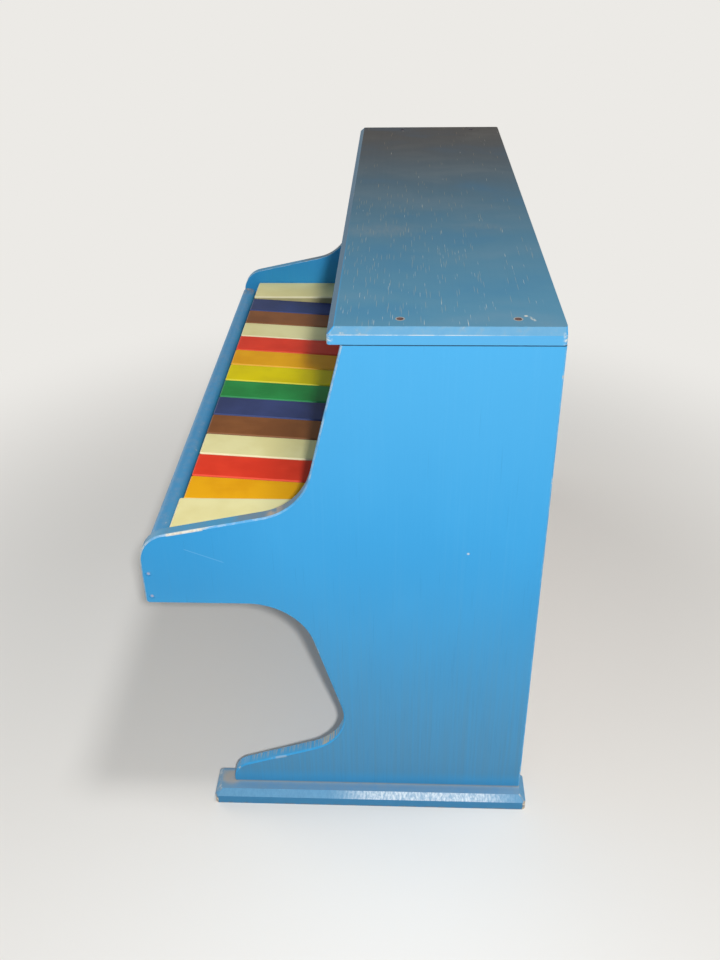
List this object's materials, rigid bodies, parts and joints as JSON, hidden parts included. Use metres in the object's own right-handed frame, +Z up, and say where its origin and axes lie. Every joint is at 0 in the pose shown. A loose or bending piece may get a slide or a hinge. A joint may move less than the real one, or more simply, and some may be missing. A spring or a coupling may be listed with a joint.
{
  "type": "toy piano",
  "caption": "Small upright toy piano in painted plywood, with a row of coloured plastic keys that lift hammers against steel tone bars.",
  "frame": {"origin": "on the floor, under the middle of the bounding box", "axes": "+Z up; the player sits at -Y; +X towards the player's right, the treble end"},
  "size_m": [0.3052, 0.1566, 0.2245],
  "materials": {
    "blue_paint": "satin blue paint on plywood, worn at the edges",
    "bare_wood": "unpainted softwood and plywood",
    "hardboard": "brown hardboard",
    "hammer_wood": "plain turned and planed wood",
    "steel": "drawn steel rod and wire",
    "rusty_steel": "old nails, brown with rust",
    "tone_steel": "plain rolled steel plate",
    "felt": "thin pressed felt",
    "key_cream": "glossy moulded plastic",
    "key_blue": "glossy moulded plastic",
    "key_brown": "glossy moulded plastic",
    "key_red": "glossy moulded plastic",
    "key_orange": "glossy moulded plastic",
    "key_yellow": "glossy moulded plastic",
    "key_green": "glossy moulded plastic"
  },
  "bodies": {
    "case": {"side_panel_left": "blue_paint", "side_panel_right": "blue_paint", "foot_left": "blue_paint", "foot_right": "blue_paint", "top_board": "blue_paint", "front_rail": "blue_paint", "fall_board": "blue_paint", "knee_board": "blue_paint", "key_bed": "bare_wood", "back_panel": "hardboard", "top_cleats": "bare_wood", "end_block_left": "key_cream", "end_block_right": "key_cream", "key_axle": "steel", "hammer_axle": "steel", "action_bracket_left": "bare_wood", "action_bracket_right": "bare_wood", "bar_rail_front": "bare_wood", "bar_rail_rear": "bare_wood", "bar_felts": "felt", "bar_pins": "steel", "case_nails": "rusty_steel", "key_felts": "felt", "tone_bar_01": "tone_steel", "tone_bar_02": "tone_steel", "tone_bar_03": "tone_steel", "tone_bar_04": "tone_steel", "tone_bar_05": "tone_steel", "tone_bar_06": "tone_steel", "tone_bar_07": "tone_steel", "tone_bar_08": "tone_steel", "tone_bar_09": "tone_steel", "tone_bar_10": "tone_steel", "tone_bar_11": "tone_steel", "tone_bar_12": "tone_steel"},
    "key_01": {"key_01": "key_blue"},
    "hammer_01": {"hammer_01": "hammer_wood"},
    "key_02": {"key_02": "key_brown"},
    "hammer_02": {"hammer_02": "hammer_wood"},
    "key_03": {"key_03": "key_cream"},
    "hammer_03": {"hammer_03": "hammer_wood"},
    "key_04": {"key_04": "key_red"},
    "hammer_04": {"hammer_04": "hammer_wood"},
    "key_05": {"key_05": "key_orange"},
    "hammer_05": {"hammer_05": "hammer_wood"},
    "key_06": {"key_06": "key_yellow"},
    "hammer_06": {"hammer_06": "hammer_wood"},
    "key_07": {"key_07": "key_green"},
    "hammer_07": {"hammer_07": "hammer_wood"},
    "key_08": {"key_08": "key_blue"},
    "hammer_08": {"hammer_08": "hammer_wood"},
    "key_09": {"key_09": "key_brown"},
    "hammer_09": {"hammer_09": "hammer_wood"},
    "key_10": {"key_10": "key_cream"},
    "hammer_10": {"hammer_10": "hammer_wood"},
    "key_11": {"key_11": "key_red"},
    "hammer_11": {"hammer_11": "hammer_wood"},
    "key_12": {"key_12": "key_orange"},
    "hammer_12": {"hammer_12": "hammer_wood"}
  },
  "joints": [
    {"name": "key_01_press", "type": "hinge", "parent": "case", "child": "key_01", "pos_m": [-0.10708, 0.0049, 0.1193], "axis": [1, 0, 0], "range_deg": [0, 3.6], "stiffness_Nm_per_rad": 0.02, "springref_deg": -8.59},
    {"name": "hammer_01_swing", "type": "hinge", "parent": "case", "child": "hammer_01", "pos_m": [-0.10708, 0.0589, 0.13865], "axis": [-1, 0, 0], "range_deg": [0, 12.64]},
    {"name": "key_02_press", "type": "hinge", "parent": "case", "child": "key_02", "pos_m": [-0.08862, 0.0049, 0.1193], "axis": [1, 0, 0], "range_deg": [0, 3.6], "stiffness_Nm_per_rad": 0.02, "springref_deg": -8.59},
    {"name": "hammer_02_swing", "type": "hinge", "parent": "case", "child": "hammer_02", "pos_m": [-0.08862, 0.0589, 0.13865], "axis": [-1, 0, 0], "range_deg": [0, 12.64]},
    {"name": "key_03_press", "type": "hinge", "parent": "case", "child": "key_03", "pos_m": [-0.07018, 0.0049, 0.1193], "axis": [1, 0, 0], "range_deg": [0, 3.6], "stiffness_Nm_per_rad": 0.02, "springref_deg": -8.59},
    {"name": "hammer_03_swing", "type": "hinge", "parent": "case", "child": "hammer_03", "pos_m": [-0.07018, 0.0589, 0.13865], "axis": [-1, 0, 0], "range_deg": [0, 12.64]},
    {"name": "key_04_press", "type": "hinge", "parent": "case", "child": "key_04", "pos_m": [-0.05173, 0.0049, 0.1193], "axis": [1, 0, 0], "range_deg": [0, 3.6], "stiffness_Nm_per_rad": 0.02, "springref_deg": -8.59},
    {"name": "hammer_04_swing", "type": "hinge", "parent": "case", "child": "hammer_04", "pos_m": [-0.05173, 0.0589, 0.13865], "axis": [-1, 0, 0], "range_deg": [0, 12.64]},
    {"name": "key_05_press", "type": "hinge", "parent": "case", "child": "key_05", "pos_m": [-0.03327, 0.0049, 0.1193], "axis": [1, 0, 0], "range_deg": [0, 3.6], "stiffness_Nm_per_rad": 0.02, "springref_deg": -8.59},
    {"name": "hammer_05_swing", "type": "hinge", "parent": "case", "child": "hammer_05", "pos_m": [-0.03327, 0.0589, 0.13865], "axis": [-1, 0, 0], "range_deg": [0, 12.64]},
    {"name": "key_06_press", "type": "hinge", "parent": "case", "child": "key_06", "pos_m": [-0.01482, 0.0049, 0.1193], "axis": [1, 0, 0], "range_deg": [0, 3.6], "stiffness_Nm_per_rad": 0.02, "springref_deg": -8.59},
    {"name": "hammer_06_swing", "type": "hinge", "parent": "case", "child": "hammer_06", "pos_m": [-0.01482, 0.0589, 0.13865], "axis": [-1, 0, 0], "range_deg": [0, 12.64]},
    {"name": "key_07_press", "type": "hinge", "parent": "case", "child": "key_07", "pos_m": [0.00363, 0.0049, 0.1193], "axis": [1, 0, 0], "range_deg": [0, 3.6], "stiffness_Nm_per_rad": 0.02, "springref_deg": -8.59},
    {"name": "hammer_07_swing", "type": "hinge", "parent": "case", "child": "hammer_07", "pos_m": [0.00363, 0.0589, 0.13865], "axis": [-1, 0, 0], "range_deg": [0, 12.64]},
    {"name": "key_08_press", "type": "hinge", "parent": "case", "child": "key_08", "pos_m": [0.02208, 0.0049, 0.1193], "axis": [1, 0, 0], "range_deg": [0, 3.6], "stiffness_Nm_per_rad": 0.02, "springref_deg": -8.59},
    {"name": "hammer_08_swing", "type": "hinge", "parent": "case", "child": "hammer_08", "pos_m": [0.02208, 0.0589, 0.13865], "axis": [-1, 0, 0], "range_deg": [0, 12.64]},
    {"name": "key_09_press", "type": "hinge", "parent": "case", "child": "key_09", "pos_m": [0.04052, 0.0049, 0.1193], "axis": [1, 0, 0], "range_deg": [0, 3.6], "stiffness_Nm_per_rad": 0.02, "springref_deg": -8.59},
    {"name": "hammer_09_swing", "type": "hinge", "parent": "case", "child": "hammer_09", "pos_m": [0.04052, 0.0589, 0.13865], "axis": [-1, 0, 0], "range_deg": [0, 12.64]},
    {"name": "key_10_press", "type": "hinge", "parent": "case", "child": "key_10", "pos_m": [0.05897, 0.0049, 0.1193], "axis": [1, 0, 0], "range_deg": [0, 3.6], "stiffness_Nm_per_rad": 0.02, "springref_deg": -8.59},
    {"name": "hammer_10_swing", "type": "hinge", "parent": "case", "child": "hammer_10", "pos_m": [0.05897, 0.0589, 0.13865], "axis": [-1, 0, 0], "range_deg": [0, 12.64]},
    {"name": "key_11_press", "type": "hinge", "parent": "case", "child": "key_11", "pos_m": [0.07742, 0.0049, 0.1193], "axis": [1, 0, 0], "range_deg": [0, 3.6], "stiffness_Nm_per_rad": 0.02, "springref_deg": -8.59},
    {"name": "hammer_11_swing", "type": "hinge", "parent": "case", "child": "hammer_11", "pos_m": [0.07742, 0.0589, 0.13865], "axis": [-1, 0, 0], "range_deg": [0, 12.64]},
    {"name": "key_12_press", "type": "hinge", "parent": "case", "child": "key_12", "pos_m": [0.09588, 0.0049, 0.1193], "axis": [1, 0, 0], "range_deg": [0, 3.6], "stiffness_Nm_per_rad": 0.02, "springref_deg": -8.59},
    {"name": "hammer_12_swing", "type": "hinge", "parent": "case", "child": "hammer_12", "pos_m": [0.09588, 0.0589, 0.13865], "axis": [-1, 0, 0], "range_deg": [0, 12.64]}
  ],
  "couplings": [
    {"joint": "hammer_01_swing", "follows": "key_01_press", "ratio": 3.5098},
    {"joint": "hammer_02_swing", "follows": "key_02_press", "ratio": 3.5098},
    {"joint": "hammer_03_swing", "follows": "key_03_press", "ratio": 3.5098},
    {"joint": "hammer_04_swing", "follows": "key_04_press", "ratio": 3.5098},
    {"joint": "hammer_05_swing", "follows": "key_05_press", "ratio": 3.5098},
    {"joint": "hammer_06_swing", "follows": "key_06_press", "ratio": 3.5098},
    {"joint": "hammer_07_swing", "follows": "key_07_press", "ratio": 3.5098},
    {"joint": "hammer_08_swing", "follows": "key_08_press", "ratio": 3.5098},
    {"joint": "hammer_09_swing", "follows": "key_09_press", "ratio": 3.5098},
    {"joint": "hammer_10_swing", "follows": "key_10_press", "ratio": 3.5098},
    {"joint": "hammer_11_swing", "follows": "key_11_press", "ratio": 3.5098},
    {"joint": "hammer_12_swing", "follows": "key_12_press", "ratio": 3.5098}
  ]
}
